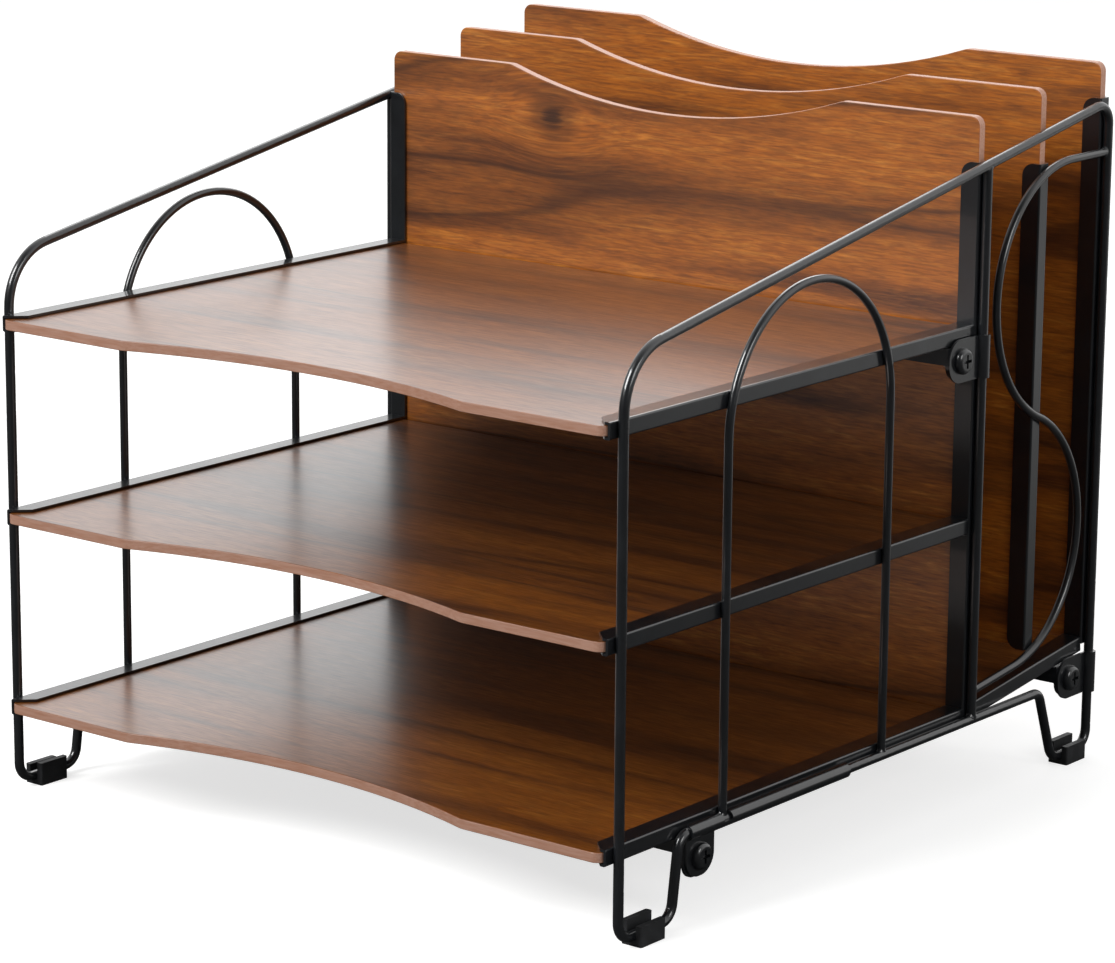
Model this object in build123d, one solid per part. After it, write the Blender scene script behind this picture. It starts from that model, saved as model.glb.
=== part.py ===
from build123d import *
import math
import os

# Tiered desk organizer: two wire side frames, three tray boards in front and three upright
# sorter boards behind. X runs across, Y from front to back and Z up, in millimetres.
# The origin is on the desk, in the middle of the overall box.

# Driving dimensions
board_width = 303.4
board_thickness = 4.0
tray_depth = 234.5
slot_pitch = 45.25
tray_overhang = 7.5
tray_pitch = 79.4
bottom_tray_height = 36.5
bottom_wire_height = 35.0
loop_front_height = 221.2
loop_rear_height = 278.4
sorter_front_height = 281.5
sorter_step = 6.25

# Stock and fits
wire_radius = 2.0
thin_wire_radius = 1.7
sheet = 1.0
fit_gap = 0.3
rest_gap = 0.05
weld_sink = 0.15
saddle_depth = 1.0
overrun = 2.0
quarter_turn = 90

# Folded channels that hold the boards
channel_lip = 8.5
channel_bend = 0.8
rail_lip_corner = 6.0
rail_front_reach = 5.5
upright_lip_round = 5.0
upright_stand = 1.0
stop_reach = 3.0
hung_rise = 4.0

# Notched boards
notch_half_width = 86.0
notch_depth = 14.0
notch_round = 8.0
board_corner = 4.0
board_ease = 0.4
board_rear_gap = 0.4

# Outer wire loop
loop_front_bend = 25.0
loop_rear_bend = 8.0
foot_bend = 7.0
foot_top_bend = 6.0
front_foot_length = 32.0
front_foot_lean = 4.5
rear_foot_length = 27.5
rear_foot_lean = 11.5

# Arch wire
arch_setback = 64.0
arch_span = 106.0
arch_headroom = 8.8

# S-curve wire
curve_headroom = 21.0
curve_front_gap = 10.0
curve_rear_gap = 12.8
curve_waist_turn = 68
curve_low_height = 13.0
curve_tail_fall = 7.0

# Sorter floor
floor_front_height = 37.6
floor_slope = 7.1
floor_end_gap = 0.4

# Cross bars
bar_sheet = 1.2
bar_width = 18.0
bar_depth = 7.0
bar_end_corner = 6.0
bar_seat_gap = 0.1
front_bar_setback = 50.0
front_bar_end_depth = 17.0
front_screw_drop = 9.2
bar_wire_drop = 1.8
post_bar_end_depth = 13.0
post_bar_screw_drop = 6.1

# Wire clips
clip_tab_width = 17.5
clip_tab_margin = 9.2
clip_tab_round = 8.0
post_screw_reach = 14.5
front_sleeve_length = 103.0
arch_notch_gap = 1.0

# Screws and nuts
screw_radius = 2.4
screw_hole_radius = 2.7
screw_head_radius = 5.4
screw_head_height = 2.6
screw_head_round = 2.0
screw_tip = 1.5
recess_length = 5.6
recess_width = 1.2
recess_depth = 1.4
nut_sides = 6
nut_width = 8.0
nut_thickness = 4.0
nut_bore_radius = 2.5

# Foot pads
pad_floor = 1.8
pad_wall = 2.6
pad_length = 15.0
pad_outer_height = 8.0
pad_inner_height = 9.5
pad_round = 0.8
front_pad_setback = 15.5
rear_pad_setback = 14.5

# Names of the tray tiers from below and of the sorter rows from the front
tier_names = ["bottom", "middle", "top"]
row_names = ["front", "middle", "rear"]
hung_row = 1

# Places worked out from the driving dimensions
channel_gap = board_thickness + fit_gap + fit_gap
channel_height = channel_gap + sheet + sheet
web_x = board_width / 2 + fit_gap + sheet
wire_x = web_x + wire_radius - weld_sink
thin_wire_x = web_x + thin_wire_radius - weld_sink
post_span = tray_depth + slot_pitch + slot_pitch
total_depth = tray_overhang + post_span + channel_height / 2
front_post_y = tray_overhang - total_depth / 2
middle_post_y = front_post_y + tray_depth
rear_post_y = front_post_y + post_span
sorter_ys = [middle_post_y, middle_post_y + slot_pitch, rear_post_y]
tray_front_y = front_post_y - tray_overhang
rail_front_y = front_post_y - rail_front_reach
rail_rear_y = middle_post_y - channel_height / 2
foot_wire_z = pad_floor + rest_gap + wire_radius
rail_zs = [bottom_tray_height + tray_pitch * tier for tier in range(len(tier_names))]
slope_share = (loop_rear_height - loop_front_height) / post_span
wire_seat = wire_radius - saddle_depth
leg_foot_z = bottom_wire_height + wire_seat
clip_bore_radius = wire_radius + rest_gap
clip_outer_radius = clip_bore_radius + sheet
clip_diameter = clip_outer_radius * 2


def slope_z(y):
    """Height of the sloping top rail's centre at a place along Y."""
    return loop_front_height + slope_share * (y - front_post_y)


curve_top_z = slope_z(rear_post_y) - curve_headroom
curve_front_y = middle_post_y + curve_front_gap
curve_rear_y = rear_post_y - curve_rear_gap
waist_radians = math.radians(curve_waist_turn)
fall_radians = math.radians(curve_tail_fall)
waist_bend = (curve_rear_y - curve_front_y) / 2 / (1 - math.cos(waist_radians))
waist_height = waist_bend * math.sin(waist_radians) * 2
tail_start_z = floor_front_height + curve_low_height
end_bend = (curve_top_z - tail_start_z - waist_height) / (1 + math.cos(fall_radians))
hung_channel_bottom = tail_start_z + hung_rise
floor_front_y = middle_post_y + channel_height / 2 + floor_end_gap
floor_rear_y = rear_post_y - channel_height / 2 - floor_end_gap
floor_rise = math.tan(math.radians(floor_slope))
floor_length = (floor_rear_y - floor_front_y) / math.cos(math.radians(floor_slope))
upright_bottoms = [
    bottom_tray_height - channel_height / 2,
    hung_channel_bottom,
    floor_front_height + (floor_rear_y - floor_front_y) * floor_rise,
]
upright_tops = [
    slope_z(middle_post_y) + upright_stand,
    curve_top_z,
    slope_z(rear_post_y) + upright_stand,
]


def channel(length):
    """A folded channel along Z: web's outer face on X zero, lips towards minus X."""
    block = Pos(-channel_lip / 2, 0, length / 2) * Box(channel_lip, channel_height, length)
    slot = Pos(-sheet - channel_lip / 2, 0, length / 2) * Box(channel_lip, channel_gap, length + overrun)
    folded = block - slot
    bends = folded.edges().filter_by(Axis.Z).group_by(Axis.X)[-1]
    return fillet(bends, channel_bend)


def lip_corners(folded, end):
    """The lips' free corner edges at the low (0) or the high (-1) end of a channel."""
    return folded.edges().filter_by(Axis.Y).group_by(Axis.X)[0].group_by(Axis.Z)[end]


def tray_rail(z):
    """A rail along Y for one end of a tray board, its lips cut back at the front."""
    folded = channel(rail_rear_y - rail_front_y)
    folded = chamfer(lip_corners(folded, 0), rail_lip_corner)
    lengthwise = Plane(origin=(web_x, rail_front_y, z), x_dir=(1, 0, 0), z_dir=(0, 1, 0))
    return lengthwise * folded


def upright_channel(row):
    """A channel along Z for one end of a sorter board, with a stop under the board."""
    length = upright_tops[row] - upright_bottoms[row]
    folded = channel(length)
    folded = fillet(lip_corners(folded, -1), upright_lip_round)
    if row == hung_row:
        folded = fillet(lip_corners(folded, 0), upright_lip_round)
    folded += Pos(-sheet - stop_reach / 2, 0, sheet / 2) * Box(stop_reach, channel_gap, sheet)
    return Pos(web_x, sorter_ys[row], upright_bottoms[row]) * folded


def sloped():
    """The plane of the sorter floor's front edge: its Z runs back along the slope."""
    rise = math.sin(math.radians(floor_slope))
    run = math.cos(math.radians(floor_slope))
    return Plane(origin=(0, floor_front_y, floor_front_height), x_dir=(1, 0, 0), z_dir=(0, run, rise))


def floor_channel():
    """The sloped channel under one end of the sorter floor board."""
    return sloped() * (Pos(web_x, 0, 0) * channel(floor_length))


def floor_board():
    """The plain board that closes the sorter slots below."""
    length = floor_length - fit_gap - fit_gap
    board = Pos(0, 0, floor_length / 2) * Box(board_width, board_thickness, length)
    return sloped() * board


def notched_board(length):
    """A board on the XY plane from Y zero back, with a shallow notch in its front edge."""
    half = board_width / 2
    left_end = (-notch_half_width, 0)
    right_end = (notch_half_width, 0)
    notch = ThreePointArc(left_end, (0, notch_depth), right_end)
    sides = Polyline(right_end, (half, 0), (half, length), (-half, length), (-half, 0), left_end)
    outline = make_face([notch, *sides.edges()])
    front_points = outline.vertices().group_by(Axis.Y)[0].sort_by(Axis.X)
    outline = fillet(front_points[1:-1], notch_round)
    front_points = outline.vertices().group_by(Axis.Y)[0].sort_by(Axis.X)
    outline = fillet([front_points[0], front_points[-1]], board_corner)
    board = extrude(outline, board_thickness / 2, both=True)
    rims = board.faces().filter_by(Axis.Z).edges()
    return fillet(rims, board_ease)


def tray_board(z):
    """One flat tray board with its notch at the front."""
    length = rail_rear_y - board_rear_gap - tray_front_y
    return Pos(0, tray_front_y, z) * notched_board(length)


def sorter_board(row):
    """One upright sorter board with its notch at the top, standing on its two stops."""
    top = sorter_front_height + sorter_step * row
    bottom = upright_bottoms[row] + sheet + rest_gap
    upright = Plane(origin=(0, sorter_ys[row], top), x_dir=(1, 0, 0), z_dir=(0, 1, 0))
    return upright * notched_board(top - bottom)


def bent_wire(path, radius):
    """A round wire along a path drawn with Y and Z as its two directions."""
    drawn = Plane.YZ * path
    start = Plane(origin=drawn @ 0, z_dir=drawn % 0)
    return sweep(start * Circle(radius), path=drawn)


def outer_loop():
    """The closed wire of one side: posts, sloping top rail, bottom wire and foot loops."""
    corners = [
        (front_post_y, foot_wire_z),
        (front_post_y, loop_front_height),
        (rear_post_y, loop_rear_height),
        (rear_post_y, foot_wire_z),
        (rear_post_y - rear_foot_length, foot_wire_z),
        (rear_post_y - rear_foot_length - rear_foot_lean, bottom_wire_height),
        (front_post_y + front_foot_length + front_foot_lean, bottom_wire_height),
        (front_post_y + front_foot_length, foot_wire_z),
    ]
    bends = [
        foot_bend,
        loop_front_bend,
        loop_rear_bend,
        foot_bend,
        foot_bend,
        foot_top_bend,
        foot_top_bend,
        foot_bend,
    ]
    path = FilletPolyline(*corners, radius=bends, close=True)
    return Pos(wire_x, 0, 0) * bent_wire(path, wire_radius)


def middle_post():
    """The straight wire from the bottom wire to the sloping top rail."""
    length = slope_z(middle_post_y) - wire_seat - leg_foot_z
    rod = Pos(0, 0, length / 2) * Cylinder(wire_radius, length)
    return Pos(wire_x, middle_post_y, leg_foot_z) * rod


def arch():
    """The inverted U of thinner wire outside the tray rails."""
    front = front_post_y + arch_setback
    rear = front + arch_span
    bend = arch_span / 2
    spring = slope_z(front + bend) - arch_headroom - bend
    rise = Line((front, leg_foot_z), (front, spring))
    crown = ThreePointArc((front, spring), (front + bend, spring + bend), (rear, spring))
    fall = Line((rear, spring), (rear, leg_foot_z))
    return Pos(thin_wire_x, 0, 0) * bent_wire(Wire([rise, crown, fall]), thin_wire_radius)


def s_curve():
    """The S of thinner wire between the middle and the rear post."""
    first = Line((rear_post_y - wire_seat, curve_top_z), (curve_front_y + end_bend, curve_top_z))
    over = JernArc(first @ 1, first % 1, end_bend, quarter_turn)
    under = JernArc(over @ 1, over % 1, waist_bend, curve_waist_turn)
    cross = JernArc(under @ 1, under % 1, waist_bend, -curve_waist_turn)
    back = JernArc(cross @ 1, cross % 1, end_bend, curve_tail_fall - quarter_turn)
    tail_run = ((back @ 1).X - middle_post_y - wire_seat) / abs((back % 1).X)
    tail = Line(back @ 1, (back @ 1) + (back % 1) * tail_run)
    path = Wire([first, over, under, cross, back, tail])
    return Pos(thin_wire_x, 0, 0) * bent_wire(path, thin_wire_radius)


def cross_bar(end_depth, screw_drop):
    """A sheet bar along X with turned-down edges and ends, its top on Z zero."""
    length = bar_reach + bar_reach
    web = Pos(0, 0, -bar_sheet / 2) * Box(length, bar_width, bar_sheet)
    edge_size = Box(length, bar_sheet, bar_depth)
    end_size = Box(bar_sheet, bar_width, end_depth)
    rounded = end_size.edges().filter_by(Axis.X).group_by(Axis.Z)[0]
    end_size = fillet(rounded, bar_end_corner)
    edge_y = bar_width / 2 - bar_sheet / 2
    end_x = bar_reach - bar_sheet / 2
    bar = web
    for side in (-1, 1):
        bar += Pos(0, side * edge_y, -bar_depth / 2) * edge_size
        bar += Pos(side * end_x, 0, -end_depth / 2) * end_size
    return bar - Pos(0, 0, -screw_drop) * along_x(Cylinder(screw_hole_radius, length + overrun))


def along_x(shape):
    """A shape made along Z, laid along X."""
    return Rot(0, quarter_turn, 0) * shape


def clip(sleeve_length, tab_start, tab_reach, screw_reach):
    """A half sleeve on a wire along Z and a flat screw tab towards minus Y."""
    ring = Cylinder(clip_outer_radius, sleeve_length) - Cylinder(clip_bore_radius, sleeve_length + overrun)
    keep = Pos(clip_outer_radius / 2, 0, 0) * Box(clip_outer_radius, clip_diameter, sleeve_length)
    sleeve = Pos(0, 0, sleeve_length / 2) * (ring & keep)
    length = tab_reach - clip_bore_radius
    tab = Box(sheet, length, clip_tab_width)
    tab = fillet(tab.edges().filter_by(Axis.X).group_by(Axis.Y)[0], clip_tab_round)
    hole = along_x(Cylinder(screw_hole_radius, sheet + overrun))
    tab_middle = tab_start + clip_tab_width / 2
    tab = Pos(-sheet / 2, -clip_bore_radius - length / 2, tab_middle) * tab
    return sleeve + tab - Pos(-sheet / 2, -screw_reach, tab_middle) * hole


def front_clip():
    """The clip on the bottom wire: its long sleeve is notched for the arch, its tab hangs down."""
    tab_start = front_sleeve_length - clip_tab_width
    hanging = Rot(quarter_turn, 0, 0) * clip(front_sleeve_length, tab_start, front_tab_reach, front_screw_reach)
    rear_end = front_bar_y + clip_tab_width / 2 + tab_start
    placed = Pos(wire_x, rear_end, bottom_wire_height) * hanging
    notch_width = (thin_wire_radius + arch_notch_gap) * 2
    notch = Box(clip_diameter + overrun, notch_width, clip_outer_radius)
    arch_y = front_post_y + arch_setback
    return placed - Pos(wire_x, arch_y, bottom_wire_height + clip_outer_radius / 2) * notch


def post_clip(post_y, screw_z):
    """The clip on a post, its tab towards the front."""
    upright = clip(clip_tab_width, 0, post_screw_reach + clip_tab_margin, post_screw_reach)
    return Pos(wire_x, post_y, screw_z - clip_tab_width / 2) * upright


def screw():
    """A pan-head cross-recess screw along X, the underside of its head on X zero."""
    head = Pos(0, 0, screw_head_height / 2) * Cylinder(screw_head_radius, screw_head_height)
    head = fillet(head.edges().group_by(Axis.Z)[-1], screw_head_round)
    for turn in (0, quarter_turn):
        cut = Box(recess_length, recess_width, recess_depth + recess_depth)
        head -= Pos(0, 0, screw_head_height) * Rot(0, 0, turn) * cut
    length = sheet + bar_sheet + nut_thickness + screw_tip
    shank = Pos(0, 0, -length / 2) * Cylinder(screw_radius, length)
    return along_x(head + shank)


def nut():
    """A hexagon nut along X, its outer face on X zero."""
    outline = RegularPolygon(nut_width / 2, side_count=nut_sides, major_radius=False)
    body = extrude(outline, -nut_thickness)
    bore = Pos(0, 0, -nut_thickness / 2) * Cylinder(nut_bore_radius, nut_thickness + overrun)
    return along_x(body - bore)


def foot_pad(setback):
    """A grooved pad under a foot loop, with its inner wall taller than its outer one."""
    groove_radius = wire_radius + rest_gap
    groove_width = groove_radius * 2
    width = groove_width + pad_wall + pad_wall
    block = Pos(0, 0, pad_inner_height / 2) * Box(width, pad_length, pad_inner_height)
    lowered = (pad_inner_height - pad_outer_height) * 2
    block -= Pos(width / 2, 0, pad_inner_height) * Box(width, pad_length + overrun, lowered)
    block = fillet(block.edges().filter_by(Axis.Z), pad_round)
    groove_z = pad_floor + groove_radius
    along_y = Rot(quarter_turn, 0, 0) * Cylinder(groove_radius, pad_length + overrun)
    slot = Box(groove_width, pad_length + overrun, pad_inner_height)
    block -= Pos(0, 0, groove_z) * along_y
    block -= Pos(0, 0, groove_z + pad_inner_height / 2) * slot
    return Pos(wire_x, setback, 0) * block


# Places of the cross bars and their screws
bar_reach = wire_x - sheet
front_bar_y = front_post_y + front_bar_setback
front_bar_z = min(bottom_tray_height - channel_height / 2, bottom_wire_height - bar_wire_drop)
front_tab_reach = bottom_wire_height - front_bar_z + front_bar_end_depth
front_screw_z = front_bar_z - front_screw_drop
front_screw_reach = bottom_wire_height - front_screw_z
middle_bar_y = middle_post_y - post_screw_reach
middle_bar_z = rail_zs[-1] - channel_height / 2
rear_bar_y = rear_post_y - post_screw_reach
rear_bar_rise = (rear_bar_y - bar_width / 2 - floor_front_y) * floor_rise
rear_bar_z = floor_front_height + rear_bar_rise - channel_height / 2 - bar_seat_gap
screw_places = [
    (front_bar_y, front_screw_z),
    (middle_bar_y, middle_bar_z - post_bar_screw_drop),
    (rear_bar_y, rear_bar_z - post_bar_screw_drop),
]


def side_pieces():
    """Every piece of the right side frame, by name, welded pieces cut to meet face to face."""
    rails = [tray_rail(z) for z in rail_zs]
    uprights = [upright_channel(row) for row in range(len(row_names))]
    sill = floor_channel()
    loop = outer_loop() - rails - [uprights[0], uprights[2], sill]
    post = middle_post() - outer_loop() - uprights[0]
    pieces = {
        "outer_loop": loop,
        "middle_post": post,
        "arch_wire": arch() - outer_loop() - rails,
        "s_curve_wire": s_curve() - outer_loop() - middle_post() - uprights,
        "sorter_floor_channel": sill,
        "front_clip": front_clip(),
        "middle_clip": post_clip(middle_post_y, screw_places[1][1]),
        "rear_clip": post_clip(rear_post_y, screw_places[2][1]),
        "front_foot_pad": foot_pad(front_post_y + front_pad_setback),
        "rear_foot_pad": foot_pad(rear_post_y - rear_pad_setback),
    }
    for tier, rail in zip(tier_names, rails):
        pieces[tier + "_tray_rail"] = rail
    for row, upright in zip(row_names, uprights):
        pieces[row + "_sorter_channel"] = upright
    return pieces


def both_sides(shape):
    """A right-hand shape and its mirror image on the left."""
    return [shape, mirror(shape, about=Plane.YZ)]


def fasteners(shape, x):
    """One fastener at every screw place, on both sides."""
    group = []
    for y, z in screw_places:
        group += both_sides(Pos(x, y, z) * shape)
    return Compound(children=group)


def all_pieces():
    """Every node of the organizer by name."""
    nodes = {}
    for name, shape in side_pieces().items():
        right, left = both_sides(shape)
        nodes["right_" + name] = right
        nodes["left_" + name] = left
    for tier, z in zip(tier_names, rail_zs):
        nodes[tier + "_tray_board"] = tray_board(z)
    for row, name in enumerate(row_names):
        nodes[name + "_sorter_board"] = sorter_board(row)
    nodes["sorter_floor_board"] = floor_board()
    front_bar = cross_bar(front_bar_end_depth, front_screw_drop)
    nodes["front_cross_bar"] = Pos(0, front_bar_y, front_bar_z) * front_bar
    post_bar = cross_bar(post_bar_end_depth, post_bar_screw_drop)
    nodes["middle_cross_bar"] = Pos(0, middle_bar_y, middle_bar_z) * post_bar
    nodes["rear_cross_bar"] = Pos(0, rear_bar_y, rear_bar_z) * post_bar
    nodes["clip_screws"] = fasteners(screw(), wire_x)
    nodes["clip_nuts"] = fasteners(nut(), bar_reach - bar_sheet)
    return nodes


os.makedirs("parts", exist_ok=True)
for node, shape in all_pieces().items():
    export_step(shape, "parts/" + node + ".step")
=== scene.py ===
import math

import bpy
import numpy as np
from bpy.props import FloatProperty, FloatVectorProperty, PointerProperty
from mathutils import Matrix, Vector


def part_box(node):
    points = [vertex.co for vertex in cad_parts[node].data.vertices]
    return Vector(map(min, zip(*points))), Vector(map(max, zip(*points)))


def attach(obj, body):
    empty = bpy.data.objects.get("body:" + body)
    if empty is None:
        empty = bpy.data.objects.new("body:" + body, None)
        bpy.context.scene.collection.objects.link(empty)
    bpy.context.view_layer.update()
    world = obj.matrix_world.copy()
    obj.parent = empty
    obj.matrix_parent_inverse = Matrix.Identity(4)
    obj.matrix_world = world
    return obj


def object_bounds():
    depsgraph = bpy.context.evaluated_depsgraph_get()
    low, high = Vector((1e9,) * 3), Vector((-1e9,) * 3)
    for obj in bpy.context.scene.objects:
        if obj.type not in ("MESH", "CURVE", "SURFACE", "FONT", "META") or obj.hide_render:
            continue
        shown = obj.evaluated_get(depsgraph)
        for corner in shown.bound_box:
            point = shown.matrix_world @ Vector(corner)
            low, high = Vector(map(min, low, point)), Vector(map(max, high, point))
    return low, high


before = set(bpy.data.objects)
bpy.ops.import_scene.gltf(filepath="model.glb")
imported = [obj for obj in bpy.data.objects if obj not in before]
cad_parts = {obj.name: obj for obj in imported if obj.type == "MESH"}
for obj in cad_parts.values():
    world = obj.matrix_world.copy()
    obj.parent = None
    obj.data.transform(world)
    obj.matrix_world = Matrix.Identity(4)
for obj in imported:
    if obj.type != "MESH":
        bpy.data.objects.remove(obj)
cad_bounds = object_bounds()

bl_info = {
    "name": "Tiered document organizer",
    "version": (1, 0, 0),
    "blender": (4, 5, 0),
    "location": "3D View > Sidebar > Organizer",
    "description": "Dresses a desk organizer of walnut laminate boards in a black wire frame",
    "category": "Object",
}

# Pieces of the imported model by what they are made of
BOARD_ENDING = "_board"
UPRIGHT_ENDING = "sorter_board"
PAD_ENDING = "_foot_pad"
NUTS = "clip_nuts"
KNOT_BOARD = "front_sorter_board"
FRAME_BODY = "frame"

# The photograph's camera: where it stands, how it is turned, and its lens for a 36 mm sensor
CAMERA_PLACE = (1.031939, -1.307624, 0.516665)
CAMERA_HEADING = math.radians(38.326)
CAMERA_PITCH = math.radians(13.262)
CAMERA_ROLL = math.radians(0.45)
CAMERA_LENS = 134.6
SENSOR_WIDTH = 36.0

# Where the white backdrop stands, and how far round from it a mirror sees the studio darken
BACKDROP_WAY = (-0.2, 0.97, 0.1)
BACKDROP_FADE = (-0.3, 0.5)

# Settings shared by many shader nodes
SMOOTH = {"interpolation_type": "SMOOTHSTEP"}
COLOURS = {"data_type": "RGBA"}
COLOURS_TIMES = {"data_type": "RGBA", "blend_type": "MULTIPLY"}
TAKE = {"operation": "SUBTRACT"}
TIMES = {"operation": "MULTIPLY"}
SIZE_OF = {"operation": "ABSOLUTE"}
LARGER = {"operation": "MAXIMUM"}
ALONG = {"operation": "DOT_PRODUCT"}
WHITE = (1.0, 1.0, 1.0, 1.0)

# Sockets of a Mix node: its share, its two numbers, its two colours, and the colour that comes out
SHARE = 0
NUMBER_A = 2
NUMBER_B = 3
COLOUR_A = 6
COLOUR_B = 7
MIXED = 2

# The sRGB curve: where its straight start ends and how steep that is, then the offset and power of the rest
SRGB_START = 0.04045
SRGB_SLOPE = 12.92
SRGB_OFFSET = 0.055
SRGB_POWER = 2.4

# Directions in the part's frame
UP = Vector((0, 0, 1))
BACK = Vector((0, 1, 0))

# Detail, roughness and warp of the noise behind each mark of the walnut print
SEAM_NOISE = (2.0, 0.4, 0.15)
FIGURE_NOISE = (3.0, 0.5, 0.3)
STREAK_NOISE = (5.0, 0.68, 0.6)
FIBRE_NOISE = (2.0, 0.6, 0.3)

# Tone of the sorter boards, left unshaded; the trays' lower tone is painted shade on the same laminate
UNSHADED_TONE = 1.0

# Ranges of the walnut print: where a mark starts and ends on its noise, then its strength at both
FIGURE_RANGE = (0.30, 0.52, 0.0, 1.0)
WARM_RANGE = (0.40, 0.62, 0.25, 1.0)
LIGHT_RANGE = (0.46, 0.72, 0.0, 0.9)
SHADE_RANGE = (0.26, 0.46, 0.6, 0.0)
FIBRE_RANGE = (0.28, 0.72, 0.68, 1.2)
SEAM_RANGE = (0.0, 0.012, 0.75, 0.0)
BAND_RANGE = (0.0, 0.055, 0.4, 0.0)
RAGGED_RANGE = (0.25, 0.75, -0.12, 0.12)
KNOT_RANGE = (0.14, 0.42, 0.95, 0.0)
RING_RANGE = (0.30, 0.62, 0.45, 0.0)
PULL_RANGE = (0.0, 1.6, 0.55, 0.0)
EDGE_RANGE = (0.5, 0.7, 1.0, 0.0)
EDGE_TONE_RANGE = (0.3, 0.7, 0.0, 0.35)
SEAM_LEVEL = 0.5

# Detail, roughness and warp of the coat's rubbed patches, and detail of the zinc's clouds
RUB_DETAIL = 3.0
RUB_ROUGHNESS = 0.6
RUB_WARP = 0.3
CLOUD_DETAIL = 3.0

# Ranges of the coat, rubber and zinc
RUB_RANGE = (0.45, 0.7, 0.0, 1.0)
BLOOM_RANGE = (0.4, 0.7, 0.0, 1.0)
CLOUD_RANGE = (0.35, 0.65, 0.0, 1.0)
GLOSS_SPAN = (0.3, 0.7)

# Resin of the laminate: its print and its clear overlay
PRINT_IOR = 1.5
OVERLAY_IOR = 1.55

# Mesh of a weld fillet, the share of the crossed wire's width that its seat may reach, and how sharply its
# top edge turns into the metal
WELD_AROUND = 32
WELD_ROWS = 9
SEAT_SHARE = 0.97
SINK_POWER = 4


def linear(hex_colour):
    """The linear red, green and blue of an sRGB hex colour."""
    channels = np.array([int(hex_colour[i:i + 2], 16) for i in (1, 3, 5)]) / 255
    low = channels / SRGB_SLOPE
    high = ((channels + SRGB_OFFSET) / (1 + SRGB_OFFSET)) ** SRGB_POWER
    return tuple(np.where(channels <= SRGB_START, low, high))


def opaque(colour):
    """A colour with full alpha."""
    return (*colour, 1.0)


class WalnutLook(bpy.types.PropertyGroup):
    """Printed walnut laminate with a plastic edge band"""

    heart: FloatVectorProperty(
        name="Heartwood", description="Main brown of the boards", subtype="COLOR",
        default=linear("#9c5614"))
    dark: FloatVectorProperty(
        name="Dark figure", description="Darker bands of the figure", subtype="COLOR",
        default=linear("#5a2e10"))
    honey: FloatVectorProperty(
        name="Honey streaks", description="Lighter streaks along the grain", subtype="COLOR",
        default=linear("#bd7629"))
    seam: FloatVectorProperty(
        name="Seams", description="Thin dark lines and knots", subtype="COLOR", default=linear("#351b0c"))
    edge: FloatVectorProperty(
        name="Edge band", description="Plastic strip round the boards' edges", subtype="COLOR",
        default=linear("#c99a84"))
    seam_length: FloatProperty(
        name="Seam length", description="Length of a dark seam line", default=1.1, unit="LENGTH")
    seam_width: FloatProperty(
        name="Seam spacing", description="Spacing of the dark seam lines", default=0.07, unit="LENGTH")
    figure_length: FloatProperty(
        name="Figure length", description="Length of a broad band of the figure", default=0.24,
        unit="LENGTH")
    figure_width: FloatProperty(
        name="Figure width", description="Width of a broad band of the figure", default=0.020,
        unit="LENGTH")
    streak_length: FloatProperty(
        name="Streak length", description="Length of a light streak", default=0.026, unit="LENGTH")
    streak_width: FloatProperty(
        name="Streak width", description="Width of a light streak", default=0.0022, unit="LENGTH")
    fibre_length: FloatProperty(
        name="Fibre length", description="Length of a fine fibre mark", default=0.010, unit="LENGTH")
    fibre_width: FloatProperty(
        name="Fibre width", description="Width of a fine fibre mark, drawn coarse enough to show",
        default=0.0008, unit="LENGTH")
    print_start: FloatVectorProperty(
        name="Print start", description="Where on the printed sheet the boards are cut",
        default=(3.1, 0.66, 0.44), subtype="XYZ_LENGTH")
    knot_across: FloatProperty(
        name="Knot across", description="Place of the knot along the front sorter board", default=-0.063,
        unit="LENGTH")
    knot_drop: FloatProperty(
        name="Knot drop", description="Depth of the knot below the front sorter board's top",
        default=0.0205, unit="LENGTH")
    knot_length: FloatProperty(
        name="Knot length", description="Half length of the grain's bend round the knot", default=0.030,
        unit="LENGTH")
    knot_height: FloatProperty(
        name="Knot height", description="Half height of the grain's bend round the knot", default=0.022,
        unit="LENGTH")
    dull: FloatProperty(
        name="Dull fibres", description="Roughness of the print at its dullest", default=0.48)
    satin: FloatProperty(
        name="Satin fibres", description="Roughness of the print at its smoothest", default=0.40)
    overlay: FloatProperty(name="Overlay roughness", description="Gloss of the clear overlay", default=0.25)
    # Painted shade: the trays are the same laminate as the sorter boards, drawn this much darker
    tray_painted_shade: FloatProperty(
        name="Tray painted shade", description="How dark the trays' painted shade is beside the sorter's", default=0.55)
    pore_strength: FloatProperty(
        name="Pore strength", description="How far fibres show as relief", default=0.12)
    pore_depth: FloatProperty(
        name="Pore depth", description="Depth of the fibres' relief", default=0.00015, unit="LENGTH")


class CoatLook(bpy.types.PropertyGroup):
    """Black powder coat on steel wire and folded sheet"""

    colour: FloatVectorProperty(
        name="Coat", description="Colour of the powder coat", subtype="COLOR", default=linear("#0f1114"))
    worn: FloatVectorProperty(
        name="Handled", description="Slightly greyer places where hands have rubbed", subtype="COLOR",
        default=linear("#16181b"))
    peel: FloatProperty(
        name="Orange peel", description="Width of a ripple in the coat", default=0.0016, unit="LENGTH")
    rubbed: FloatProperty(
        name="Rubbed patch", description="Width of a rubbed patch", default=0.018, unit="LENGTH")
    dull: FloatProperty(
        name="Fresh coat", description="Roughness of the pigment where untouched", default=0.37)
    smooth: FloatProperty(
        name="Rubbed coat", description="Roughness of the pigment where rubbed", default=0.28)
    skin: FloatProperty(
        name="Skin roughness", description="Gloss of the clear skin that baking leaves", default=0.06)
    peel_strength: FloatProperty(name="Peel strength", description="How far the ripple shows", default=0.10)
    peel_depth: FloatProperty(
        name="Peel depth", description="Depth of the ripple", default=0.0002, unit="LENGTH")


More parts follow.
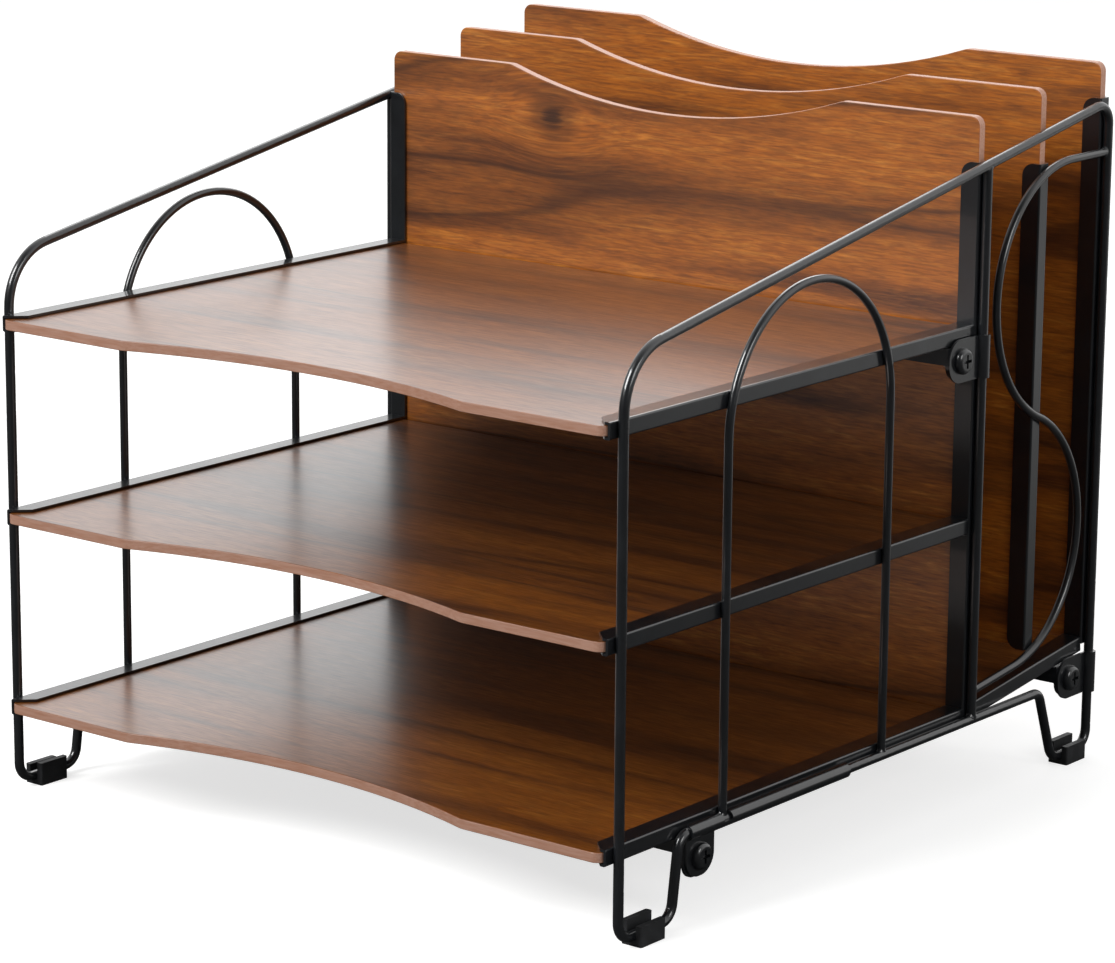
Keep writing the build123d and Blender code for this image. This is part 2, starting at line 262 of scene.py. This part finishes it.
class SmallPartsLook(bpy.types.PropertyGroup):
    """Rubber of the foot pads and zinc of the nuts"""

    rubber: FloatVectorProperty(
        name="Rubber", description="Colour of the foot pads", subtype="COLOR", default=linear("#17181a"))
    bloom: FloatVectorProperty(
        name="Bloom", description="Paler places on the rubber", subtype="COLOR", default=linear("#202124"))
    zinc: FloatVectorProperty(
        name="Zinc", description="Colour of the plated nuts", subtype="COLOR", default=linear("#b4b6b8"))
    cloud: FloatVectorProperty(
        name="Cloudy zinc", description="Duller places on the plating", subtype="COLOR",
        default=linear("#999b9d"))
    pebble: FloatProperty(
        name="Rubber pebble", description="Width of a bump moulded in the rubber", default=0.0007,
        unit="LENGTH")
    bloom_size: FloatProperty(
        name="Bloom size", description="Width of a pale place on the rubber", default=0.0063, unit="LENGTH")
    cloud_size: FloatProperty(
        name="Cloud size", description="Width of a dull place on the plating", default=0.0021,
        unit="LENGTH")
    pebble_strength: FloatProperty(
        name="Pebble strength", description="How far the pebble shows", default=0.25)
    pebble_depth: FloatProperty(
        name="Pebble depth", description="Depth of the pebble", default=0.0002, unit="LENGTH")
    rubber_smooth: FloatProperty(name="Worn rubber", description="Rubber's lowest roughness", default=0.58)
    rubber_dull: FloatProperty(name="Dusty rubber", description="Rubber's highest roughness", default=0.72)
    zinc_smooth: FloatProperty(name="Bright zinc", description="Plating's lowest roughness", default=0.28)
    zinc_dull: FloatProperty(name="Dull zinc", description="Plating's highest roughness", default=0.42)


class WeldLook(bpy.types.PropertyGroup):
    """Fillets of weld metal where one wire ends on another"""

    saddle: FloatProperty(
        name="Saddle", description="How deep a wire's end sits in the wire it meets", default=0.001,
        unit="LENGTH")
    tail_fall: FloatProperty(
        name="Tail fall", description="Angle at which the S-curve's tail meets the middle post",
        default=math.radians(7.0), unit="ROTATION")
    flare: FloatProperty(
        name="Flare", description="How far a fillet spreads along the wire it sits on", default=0.0009,
        unit="LENGTH")
    climb: FloatProperty(
        name="Climb", description="How far a fillet climbs up the wire that ends there", default=0.0014,
        unit="LENGTH")
    sink: FloatProperty(
        name="Sink", description="How far a fillet reaches into the metal", default=0.0002, unit="LENGTH")


class StageLook(bpy.types.PropertyGroup):
    """Floor, world and lamps"""

    floor: FloatVectorProperty(
        name="Floor", description="Colour of the floor", subtype="COLOR", default=linear("#c8c8c7"))
    floor_size: FloatProperty(
        name="Floor size", description="Side of the square floor", default=30.0, unit="LENGTH")
    floor_dull: FloatProperty(
        name="Floor roughness", description="Roughness of the floor paint", default=0.9)
    floor_shine: FloatProperty(
        name="Floor shine", description="Share of mirror light from the floor", default=0.1)
    floor_glow: FloatProperty(
        name="Floor glow", description="Lift that makes the floor white for the camera", default=0.7)
    sweep: FloatProperty(
        name="Sweep", description="How far the white of the backdrop fades out over the floor", default=1.0,
        unit="LENGTH")
    world_level: FloatProperty(name="World level", description="Light from all round", default=0.42)
    front_level: FloatProperty(
        name="Front level", description="How bright the room in front looks in a mirror", default=0.07)
    key_power: FloatProperty(
        name="Key lamp", description="Power of the large lamp in front", default=66.0, unit="POWER")
    key_place: FloatVectorProperty(
        name="Key place", description="Where the large lamp hangs", default=(-0.6, -1.9, 1.8),
        subtype="XYZ_LENGTH")
    key_size: FloatProperty(
        name="Key size", description="Side of the large lamp", default=1.2, unit="LENGTH")
    fill_power: FloatProperty(
        name="Fill lamp", description="Power of the lamp on the right", default=9.0, unit="POWER")
    fill_place: FloatVectorProperty(
        name="Fill place", description="Where the lamp on the right hangs", default=(1.9, -0.2, 1.0),
        subtype="XYZ_LENGTH")
    fill_size: FloatProperty(
        name="Fill size", description="Side of the lamp on the right", default=0.8, unit="LENGTH")
    rim_power: FloatProperty(
        name="Rim lamp", description="Power of the lamp behind", default=9.0, unit="POWER")
    rim_place: FloatVectorProperty(
        name="Rim place", description="Where the lamp behind hangs", default=(-0.9, 1.4, 1.4),
        subtype="XYZ_LENGTH")
    rim_size: FloatProperty(
        name="Rim size", description="Side of the lamp behind", default=1.2, unit="LENGTH")


def put(tree, kind, settings, inputs):
    """Add one node with its settings and return its outputs. Its inputs, by name or in order, take values
    or links."""
    made = tree.nodes.new(kind)
    for name, value in settings.items():
        setattr(made, name, value)
    pairs = inputs.items() if isinstance(inputs, dict) else enumerate(inputs)
    for key, value in pairs:
        if isinstance(value, bpy.types.NodeSocket):
            tree.links.new(value, made.inputs[key])
        else:
            made.inputs[key].default_value = value
    return made.outputs


def start_material(name):
    """A new material, its tree, its shader's inputs and the outputs that tell where a point lies."""
    material = bpy.data.materials.new(name)
    material.use_nodes = True
    tree = material.node_tree
    shader = tree.nodes["Principled BSDF"].inputs
    place = put(tree, "ShaderNodeTexCoord", {}, {})
    return material, tree, shader, place


def knot_centre(look):
    """The middle of the knot, on the board that shows it."""
    low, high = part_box(KNOT_BOARD)
    return Vector((look.knot_across, (low.y + high.y) / 2, high.z - look.knot_drop))


def walnut_grain(tree, spot, look):
    """Where a place lies along the grain, drawn together round the knot, and its distance from the knot."""
    away = put(tree, "ShaderNodeVectorMath", TAKE, (spot, knot_centre(look)))[0]
    bend_size = (1 / look.knot_length, 1 / look.knot_height, 1 / look.knot_height)
    bend = put(tree, "ShaderNodeVectorMath", TIMES, (away, bend_size))[0]
    far = put(tree, "ShaderNodeVectorMath", {"operation": "LENGTH"}, (bend,))["Value"]
    pull = put(tree, "ShaderNodeMapRange", SMOOTH, (far, *PULL_RANGE))[0]
    shift = put(tree, "ShaderNodeVectorMath", {"operation": "SCALE"}, {"Vector": away, "Scale": pull})[0]
    grain = put(tree, "ShaderNodeVectorMath", TAKE, (spot, shift))[0]
    return put(tree, "ShaderNodeMapping", {}, (grain, look.print_start))[0], far


def walnut_marks(tree, grain, look):
    """Noise stretched along X for each kind of mark in the print: seams, figure, streaks and fibres."""
    sizes = (
        (look.seam_length, look.seam_width, SEAM_NOISE),
        (look.figure_length, look.figure_width, FIGURE_NOISE),
        (look.streak_length, look.streak_width, STREAK_NOISE),
        (look.fibre_length, look.fibre_width, FIBRE_NOISE),
    )
    marks = []
    for length, width, (detail, rough, warp) in sizes:
        scale = (1 / length, 1 / width, 1 / width)
        scaled = put(tree, "ShaderNodeMapping", {}, {"Vector": grain, "Scale": scale})[0]
        wanted = {"Vector": scaled, "Scale": 1.0, "Detail": detail, "Roughness": rough, "Distortion": warp}
        marks.append(put(tree, "ShaderNodeTexNoise", {}, wanted)[0])
    return marks


def walnut_print(tree, far, marks, look):
    """Colour of the printed face: dark and heart bands, honey streaks, fibres, then seams and knot."""
    line, figure, streak, fibre = marks
    share = put(tree, "ShaderNodeMapRange", SMOOTH, (figure, *FIGURE_RANGE))[0]
    wanted = {SHARE: share, COLOUR_A: opaque(look.dark), COLOUR_B: opaque(look.heart)}
    colour = put(tree, "ShaderNodeMix", COLOURS, wanted)[MIXED]
    light = put(tree, "ShaderNodeMapRange", SMOOTH, (streak, *LIGHT_RANGE))[0]
    warm = put(tree, "ShaderNodeMapRange", SMOOTH, (figure, *WARM_RANGE))[0]
    light = put(tree, "ShaderNodeMath", TIMES, (light, warm))[0]
    wanted = {SHARE: light, COLOUR_A: colour, COLOUR_B: opaque(look.honey)}
    colour = put(tree, "ShaderNodeMix", COLOURS, wanted)[MIXED]
    shade = put(tree, "ShaderNodeMapRange", SMOOTH, (streak, *SHADE_RANGE))[0]
    wanted = {SHARE: shade, COLOUR_A: colour, COLOUR_B: opaque(look.dark)}
    colour = put(tree, "ShaderNodeMix", COLOURS, wanted)[MIXED]
    tone = put(tree, "ShaderNodeMapRange", SMOOTH, (fibre, *FIBRE_RANGE))[0]
    tone = put(tree, "ShaderNodeCombineColor", {}, (tone, tone, tone))[0]
    wanted = {SHARE: 1.0, COLOUR_A: colour, COLOUR_B: tone}
    colour = put(tree, "ShaderNodeMix", COLOURS_TIMES, wanted)[MIXED]

    off_line = put(tree, "ShaderNodeMath", TAKE, (line, SEAM_LEVEL))[0]
    off_line = put(tree, "ShaderNodeMath", SIZE_OF, (off_line,))[0]
    seam = put(tree, "ShaderNodeMapRange", SMOOTH, (off_line, *SEAM_RANGE))[0]
    band = put(tree, "ShaderNodeMapRange", SMOOTH, (off_line, *BAND_RANGE))[0]
    seam = put(tree, "ShaderNodeMath", LARGER, (seam, band))[0]
    wanted = {SHARE: seam, COLOUR_A: colour, COLOUR_B: opaque(look.seam)}
    colour = put(tree, "ShaderNodeMix", COLOURS, wanted)[MIXED]
    ragged = put(tree, "ShaderNodeMapRange", SMOOTH, (streak, *RAGGED_RANGE))[0]
    ragged = put(tree, "ShaderNodeMath", {"operation": "ADD"}, (far, ragged))[0]
    knot = put(tree, "ShaderNodeMapRange", SMOOTH, (ragged, *KNOT_RANGE))[0]
    ring = put(tree, "ShaderNodeMapRange", SMOOTH, (ragged, *RING_RANGE))[0]
    knot = put(tree, "ShaderNodeMath", LARGER, (knot, ring))[0]
    wanted = {SHARE: knot, COLOUR_A: colour, COLOUR_B: opaque(look.seam)}
    return put(tree, "ShaderNodeMix", COLOURS, wanted)[MIXED]


def walnut(name, look, face_axis, painted_shade_tone):
    """Walnut-look laminate, printed and pressed satin: long brown figure, honey streaks, fine dark seams
    and a knot give warm bands along X, and the edge band shows as a plain tan strip. face_axis is the
    boards' normal. The tone darkens the whole colour, edge band too; below 1 it is painted shade."""
    material, tree, shader, place = start_material(name)
    grain, far = walnut_grain(tree, place["Object"], look)
    marks = walnut_marks(tree, grain, look)
    fibre = marks[-1]
    colour = walnut_print(tree, far, marks, look)

    facing = put(tree, "ShaderNodeVectorMath", ALONG, (place["Normal"], face_axis))["Value"]
    facing = put(tree, "ShaderNodeMath", SIZE_OF, (facing,))[0]
    on_edge = put(tree, "ShaderNodeMapRange", SMOOTH, (facing, *EDGE_RANGE))[0]
    band_tone = put(tree, "ShaderNodeMapRange", SMOOTH, (fibre, *EDGE_TONE_RANGE))[0]
    wanted = {SHARE: band_tone, COLOUR_A: opaque(look.edge), COLOUR_B: opaque(look.heart)}
    band = put(tree, "ShaderNodeMix", COLOURS, wanted)[MIXED]
    wanted = {SHARE: on_edge, COLOUR_A: colour, COLOUR_B: band}
    colour = put(tree, "ShaderNodeMix", COLOURS, wanted)[MIXED]
    # Painted shade: a tone below 1 darkens the whole colour, edge band too, as on the trays
    tone = opaque((painted_shade_tone,) * 3)
    wanted = {SHARE: 1.0, COLOUR_A: colour, COLOUR_B: tone}
    colour = put(tree, "ShaderNodeMix", COLOURS_TIMES, wanted)[MIXED]
    tree.links.new(colour, shader["Base Color"])

    gloss = put(tree, "ShaderNodeMapRange", SMOOTH, (fibre, *GLOSS_SPAN, look.dull, look.satin))[0]
    tree.links.new(gloss, shader["Roughness"])
    clear = put(tree, "ShaderNodeMath", TAKE, (1.0, on_edge))[0]
    tree.links.new(clear, shader["Coat Weight"])
    shader["Coat Roughness"].default_value = look.overlay
    shader["Coat IOR"].default_value = OVERLAY_IOR
    shader["IOR"].default_value = PRINT_IOR
    wanted = {"Strength": look.pore_strength, "Distance": look.pore_depth, "Height": fibre}
    tree.links.new(put(tree, "ShaderNodeBump", {}, wanted)[0], shader["Normal"])
    return material


def powder_coat(name, look):
    """Semi-gloss black powder coat, sprayed and baked: a faint orange-peel ripple breaks up the highlights,
    and rubbed places are a little greyer and smoother."""
    material, tree, shader, place = start_material(name)
    spot = place["Object"]
    wanted = {"Vector": spot, "Scale": 1 / look.peel}
    ripple = put(tree, "ShaderNodeTexNoise", {}, wanted)[0]
    wanted = {
        "Vector": spot,
        "Scale": 1 / look.rubbed,
        "Detail": RUB_DETAIL,
        "Roughness": RUB_ROUGHNESS,
        "Distortion": RUB_WARP,
    }
    patch = put(tree, "ShaderNodeTexNoise", {}, wanted)[0]
    rub = put(tree, "ShaderNodeMapRange", SMOOTH, (patch, *RUB_RANGE))[0]
    wanted = {SHARE: rub, COLOUR_A: opaque(look.colour), COLOUR_B: opaque(look.worn)}
    colour = put(tree, "ShaderNodeMix", COLOURS, wanted)[MIXED]
    tree.links.new(colour, shader["Base Color"])
    gloss = put(tree, "ShaderNodeMapRange", SMOOTH, (patch, *GLOSS_SPAN, look.dull, look.smooth))[0]
    tree.links.new(gloss, shader["Roughness"])
    shader["Coat Weight"].default_value = 1.0
    shader["Coat Roughness"].default_value = look.skin
    wanted = {"Strength": look.peel_strength, "Distance": look.peel_depth, "Height": ripple}
    tree.links.new(put(tree, "ShaderNodeBump", {}, wanted)[0], shader["Normal"])
    return material


def moulded_rubber(name, look):
    """Moulded black rubber: matt, with a fine pebble from the mould and a dusty bloom in the hollows."""
    material, tree, shader, place = start_material(name)
    spot = place["Object"]
    pebble = put(tree, "ShaderNodeTexNoise", {}, {"Vector": spot, "Scale": 1 / look.pebble})[0]
    bloom = put(tree, "ShaderNodeTexNoise", {}, {"Vector": spot, "Scale": 1 / look.bloom_size})[0]
    share = put(tree, "ShaderNodeMapRange", SMOOTH, (bloom, *BLOOM_RANGE))[0]
    wanted = {SHARE: share, COLOUR_A: opaque(look.rubber), COLOUR_B: opaque(look.bloom)}
    colour = put(tree, "ShaderNodeMix", COLOURS, wanted)[MIXED]
    tree.links.new(colour, shader["Base Color"])
    wanted = (bloom, *GLOSS_SPAN, look.rubber_smooth, look.rubber_dull)
    tree.links.new(put(tree, "ShaderNodeMapRange", SMOOTH, wanted)[0], shader["Roughness"])
    wanted = {"Strength": look.pebble_strength, "Distance": look.pebble_depth, "Height": pebble}
    tree.links.new(put(tree, "ShaderNodeBump", {}, wanted)[0], shader["Normal"])
    return material


def plated_zinc(name, look):
    """Zinc-plated steel: a bright grey metal with cloudy patches from the plating bath."""
    material, tree, shader, place = start_material(name)
    wanted = {"Vector": place["Object"], "Scale": 1 / look.cloud_size, "Detail": CLOUD_DETAIL}
    cloud = put(tree, "ShaderNodeTexNoise", {}, wanted)[0]
    share = put(tree, "ShaderNodeMapRange", SMOOTH, (cloud, *CLOUD_RANGE))[0]
    wanted = {SHARE: share, COLOUR_A: opaque(look.zinc), COLOUR_B: opaque(look.cloud)}
    colour = put(tree, "ShaderNodeMix", COLOURS, wanted)[MIXED]
    tree.links.new(colour, shader["Base Color"])
    wanted = (cloud, *GLOSS_SPAN, look.zinc_smooth, look.zinc_dull)
    tree.links.new(put(tree, "ShaderNodeMapRange", SMOOTH, wanted)[0], shader["Roughness"])
    shader["Metallic"].default_value = 1.0
    return material


def closed_grid(points):
    """Corners, quads and triangles of a surface grid of rows by columns: the columns close round, and each
    end row is closed on a pole at its middle."""
    rows, columns = points.shape[:2]
    corner = np.arange(rows * columns).reshape(rows, columns)
    after = np.roll(corner, -1, axis=1)
    quads = np.stack([corner[:-1], after[:-1], after[1:], corner[1:]], axis=-1).reshape(-1, 4)
    low = np.stack([after[0], corner[0], np.full(columns, rows * columns)], axis=-1)
    high = np.stack([corner[-1], after[-1], np.full(columns, rows * columns + 1)], axis=-1)
    poles = np.stack([points[0].mean(axis=0), points[-1].mean(axis=0)])
    corners = np.concatenate([points.reshape(-1, 3), poles])
    return corners, quads, np.concatenate([low, high])


def weld_fillet(centre, rise, along, radius, crossed, look):
    """A fillet where a wire of the given radius ends on a crossed wire. For the angle u round the ending
    wire and the height t from 0 to 1, the radius is the wire's plus a flare that falls off as the cosine
    of u squared and as 1 - sin(t * pi / 2), and the height starts on the crossed wire's round surface."""
    rise = rise.normalized()
    along = along.normalized()
    beside = np.array(rise.cross(along))
    angles = np.linspace(0, 2 * math.pi, WELD_AROUND, endpoint=False)[None, :]
    heights = np.linspace(0, 1, WELD_ROWS)[:, None]
    spread = look.flare * np.cos(angles) ** 2 * (1 - np.sin(heights * math.pi / 2))
    reach = radius + spread - look.sink * heights ** SINK_POWER
    widest = SEAT_SHARE * crossed
    sideways = np.clip(radius * np.sin(angles), -widest, widest)
    seat = np.sqrt(crossed ** 2 - sideways ** 2) - look.sink
    up = seat + (look.climb + look.sink) * heights
    points = np.asarray(centre) + up[..., None] * np.array(rise)
    points = points + (reach * np.cos(angles))[..., None] * np.array(along)
    return points + (reach * np.sin(angles))[..., None] * beside


def weld_places(look):
    """The posts' radius, and for each wire of the right side that ends on another, measured on the packed
    wires: the crossing's centre, the way the ending wire rises from it, the way the fillet spreads and the
    wire's radius."""
    post_low, post_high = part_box("right_middle_post")
    loop_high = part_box("right_outer_loop")[1]
    arch_low, arch_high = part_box("right_arch_wire")
    curve_low, curve_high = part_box("right_s_curve_wire")
    thick = (post_high.y - post_low.y) / 2
    thin = (curve_high.x - curve_low.x) / 2
    seat = thick - look.saddle
    post_x = post_high.x - thick
    thin_x = curve_high.x - thin
    post_y = (post_low.y + post_high.y) / 2
    rear_y = loop_high.y - thick
    bottom_z = post_low.z - seat
    slope_z = post_high.z + seat
    rise = (loop_high.z - thick - slope_z) / (rear_y - post_y)
    tail = BACK * math.cos(look.tail_fall) + UP * math.sin(look.tail_fall)
    places = [
        ((post_x, post_y, bottom_z), UP, BACK, thick),
        ((post_x, post_y, slope_z), -UP, BACK + UP * rise, thick),
        ((thin_x, rear_y, curve_high.z - thin), -BACK, UP, thin),
        ((thin_x, post_y, curve_low.z + thin), tail, UP, thin),
        ((thin_x, arch_low.y + thin, bottom_z), UP, BACK, thin),
        ((thin_x, arch_high.y - thin, bottom_z), UP, BACK, thin),
    ]
    return thick, places


def add_piece(name, parts, material, body):
    """One mesh object at the origin from several closed grids, riding on a body."""
    corners = []
    faces = []
    start = 0
    for part_corners, quads, triangles in parts:
        corners.append(part_corners)
        faces += (quads + start).tolist() + (triangles + start).tolist()
        start += len(part_corners)
    mesh = bpy.data.meshes.new(name)
    mesh.from_pydata(np.concatenate(corners).tolist(), [], faces)
    mesh.polygons.foreach_set("use_smooth", np.ones(len(faces), bool))
    mesh.materials.append(material)
    mesh.update()
    piece = bpy.data.objects.new(name, mesh)
    bpy.context.scene.collection.objects.link(piece)
    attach(piece, body)


def dress(names, material):
    """Put one material on every named node."""
    for name in names:
        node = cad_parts[name]
        node.data.materials.clear()
        node.data.materials.append(material)


class ORGANIZER_OT_dress_boards(bpy.types.Operator):
    """Give the tray boards, sorter boards and sorter floor their walnut laminate, the flat boards a copy
    drawn darker as painted shade
    """

    bl_idname = "organizer.dress_boards"
    bl_label = "Dress boards"

    def execute(self, context):
        look = context.scene.organizer_walnut
        boards = [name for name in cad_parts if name.endswith(BOARD_ENDING)]
        upright = [name for name in boards if name.endswith(UPRIGHT_ENDING)]
        flat = [name for name in boards if name not in upright]
        # The flat boards get a darker copy of the same laminate: painted shade
        dress(flat, walnut("walnut_laminate_flat_painted_shade", look, UP, look.tray_painted_shade))
        dress(upright, walnut("walnut_laminate_upright", look, BACK, UNSHADED_TONE))
        return {"FINISHED"}


class ORGANIZER_OT_dress_frame(bpy.types.Operator):
    """Give the wires, channels, bars, clips and screws their powder coat"""

    bl_idname = "organizer.dress_frame"
    bl_label = "Dress frame"

    def execute(self, context):
        metal = [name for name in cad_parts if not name.endswith((BOARD_ENDING, PAD_ENDING))]
        coated = [name for name in metal if name != NUTS]
        dress(coated, powder_coat("black_powder_coat_sprayed", context.scene.organizer_coat))
        return {"FINISHED"}


class ORGANIZER_OT_dress_small_parts(bpy.types.Operator):
    """Give the foot pads their rubber and the nuts their zinc"""

    bl_idname = "organizer.dress_small_parts"
    bl_label = "Dress pads and nuts"

    def execute(self, context):
        look = context.scene.organizer_small_parts
        pads = [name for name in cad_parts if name.endswith(PAD_ENDING)]
        dress(pads, moulded_rubber("black_rubber_moulded", look))
        dress([NUTS], plated_zinc("zinc_plated_steel", look))
        return {"FINISHED"}


class ORGANIZER_OT_add_welds(bpy.types.Operator):
    """Add the weld fillets where wires end on other wires"""

    bl_idname = "organizer.add_welds"
    bl_label = "Add welds"

    def execute(self, context):
        look = context.scene.organizer_weld
        coat = bpy.data.materials["black_powder_coat_sprayed"]
        crossed, places = weld_places(look)
        for side, sign in (("right", 1), ("left", -1)):
            parts = []
            for centre, rise, along, radius in places:
                points = weld_fillet(centre, rise, along, radius, crossed, look)
                points[..., 0] *= sign
                parts.append(closed_grid(points[:, ::sign]))
            add_piece(side + "_weld_fillets", parts, coat, FRAME_BODY)
        return {"FINISHED"}


def add_lamp(name, place, target, size, power):
    """A square soft lamp aimed at a target."""
    data = bpy.data.lights.new(name, "AREA")
    data.energy = power
    data.size = size
    lamp = bpy.data.objects.new(name, data)
    lamp.location = place
    lamp.rotation_euler = (target - Vector(place)).to_track_quat("-Z", "Y").to_euler()
    bpy.context.scene.collection.objects.link(lamp)


def add_camera():
    """The photograph's camera, from its heading, pitch and roll."""
    look = Vector((
        -math.sin(CAMERA_HEADING) * math.cos(CAMERA_PITCH),
        math.cos(CAMERA_HEADING) * math.cos(CAMERA_PITCH),
        -math.sin(CAMERA_PITCH),
    ))
    level = Vector((math.cos(CAMERA_HEADING), math.sin(CAMERA_HEADING), 0))
    steep = level.cross(look)
    right = math.cos(CAMERA_ROLL) * level + math.sin(CAMERA_ROLL) * steep
    up = math.cos(CAMERA_ROLL) * steep - math.sin(CAMERA_ROLL) * level
    data = bpy.data.cameras.new("photograph_camera")
    data.lens = CAMERA_LENS
    data.sensor_width = SENSOR_WIDTH
    data.sensor_fit = "HORIZONTAL"
    camera = bpy.data.objects.new("photograph_camera", data)
    turned = Matrix((right, up, -look)).transposed().to_4x4()
    camera.matrix_world = Matrix.Translation(CAMERA_PLACE) @ turned
    bpy.context.scene.collection.objects.link(camera)
    bpy.context.scene.camera = camera


def add_world(look):
    """A plain white surround, dimmer as a light than as a background. Mirrored rays see it darken towards
    the front, as a studio does behind the camera."""
    world = bpy.data.worlds.new("studio_white")
    world.use_nodes = True
    tree = world.node_tree
    path = put(tree, "ShaderNodeLightPath", {}, {})
    way = put(tree, "ShaderNodeTexCoord", {}, {})["Generated"]
    backward = put(tree, "ShaderNodeVectorMath", ALONG, (way, BACKDROP_WAY))["Value"]
    mirrored = put(tree, "ShaderNodeMapRange", SMOOTH, (backward, *BACKDROP_FADE, look.front_level, 1.0))[0]
    wanted = {SHARE: path["Is Glossy Ray"], NUMBER_A: look.world_level, NUMBER_B: mirrored}
    level = put(tree, "ShaderNodeMix", {}, wanted)[0]
    wanted = {SHARE: path["Is Camera Ray"], NUMBER_A: level, NUMBER_B: 1.0}
    level = put(tree, "ShaderNodeMix", {}, wanted)[0]
    tree.links.new(level, tree.nodes["Background"].inputs["Strength"])
    tree.nodes["Background"].inputs["Color"].default_value = WHITE
    bpy.context.scene.world = world


def floor_paint(look):
    """Matt pale floor paint, rolled on: an even white under the camera that fades to grey in mirrors."""
    material, tree, shader, place = start_material("pale_floor_paint_rolled")
    shader["Roughness"].default_value = look.floor_dull
    shader["Specular IOR Level"].default_value = look.floor_shine
    shader["Emission Color"].default_value = WHITE
    path = put(tree, "ShaderNodeLightPath", {}, {})
    backward = put(tree, "ShaderNodeVectorMath", ALONG, (place["Object"], BACKDROP_WAY))["Value"]
    wanted = (backward, 0.0, look.sweep, look.front_level, 1.0)
    mirrored = put(tree, "ShaderNodeMapRange", SMOOTH, wanted)[0]
    wanted = {SHARE: path["Is Glossy Ray"], NUMBER_A: 1.0, NUMBER_B: mirrored}
    level = put(tree, "ShaderNodeMix", {}, wanted)[0]
    grey = put(tree, "ShaderNodeCombineColor", {}, (level, level, level))[0]
    wanted = {SHARE: 1.0, COLOUR_A: opaque(look.floor), COLOUR_B: grey}
    colour = put(tree, "ShaderNodeMix", COLOURS_TIMES, wanted)[MIXED]
    tree.links.new(colour, shader["Base Color"])
    glow = put(tree, "ShaderNodeMath", TIMES, (path["Is Camera Ray"], look.floor_glow))[0]
    tree.links.new(glow, shader["Emission Strength"])
    return material


def add_floor(look):
    """A plain pale floor under the foot pads."""
    half = look.floor_size / 2
    corners = [(-half, -half, 0), (half, -half, 0), (half, half, 0), (-half, half, 0)]
    mesh = bpy.data.meshes.new("floor")
    mesh.from_pydata(corners, [], [(0, 1, 2, 3)])
    mesh.materials.append(floor_paint(look))
    floor = bpy.data.objects.new("floor", mesh)
    bpy.context.scene.collection.objects.link(floor)


class ORGANIZER_OT_set_stage(bpy.types.Operator):
    """Set up the floor, the lamps and the photograph's camera"""

    bl_idname = "organizer.set_stage"
    bl_label = "Set stage"

    def execute(self, context):
        look = context.scene.organizer_stage
        middle = (cad_bounds[0] + cad_bounds[1]) / 2
        add_floor(look)
        add_world(look)
        add_lamp("key_lamp", look.key_place, middle, look.key_size, look.key_power)
        add_lamp("fill_lamp", look.fill_place, middle, look.fill_size, look.fill_power)
        add_lamp("rim_lamp", look.rim_place, middle, look.rim_size, look.rim_power)
        add_camera()
        context.scene.view_settings.view_transform = "Standard"
        return {"FINISHED"}


class ORGANIZER_PT_sidebar(bpy.types.Panel):
    """The organizer's steps and looks"""

    bl_idname = "ORGANIZER_PT_sidebar"
    bl_label = "Document organizer"
    bl_space_type = "VIEW_3D"
    bl_region_type = "UI"
    bl_category = "Organizer"

    def draw(self, context):
        for step in STEPS:
            self.layout.operator(step.bl_idname)
        for name, look in LOOKS.items():
            box = self.layout.box()
            for key in look.__annotations__:
                box.prop(getattr(context.scene, name), key)


STEPS = (
    ORGANIZER_OT_dress_boards,
    ORGANIZER_OT_dress_frame,
    ORGANIZER_OT_dress_small_parts,
    ORGANIZER_OT_add_welds,
    ORGANIZER_OT_set_stage,
)
LOOKS = {
    "organizer_walnut": WalnutLook,
    "organizer_coat": CoatLook,
    "organizer_small_parts": SmallPartsLook,
    "organizer_weld": WeldLook,
    "organizer_stage": StageLook,
}


def register():
    """Register the looks on the scene, then the steps and the panel."""
    for name, look in LOOKS.items():
        bpy.utils.register_class(look)
        setattr(bpy.types.Scene, name, PointerProperty(type=look))
    for step in (*STEPS, ORGANIZER_PT_sidebar):
        bpy.utils.register_class(step)


def unregister():
    """Take the steps, the panel and the looks out again."""
    for step in (*STEPS, ORGANIZER_PT_sidebar):
        bpy.utils.unregister_class(step)
    for name, look in LOOKS.items():
        delattr(bpy.types.Scene, name)
        bpy.utils.unregister_class(look)


def main():
    """Run every step in order."""
    register()
    bpy.ops.organizer.dress_boards()
    bpy.ops.organizer.dress_frame()
    bpy.ops.organizer.dress_small_parts()
    bpy.ops.organizer.add_welds()
    bpy.ops.organizer.set_stage()


if __name__ == "__main__":
    main()
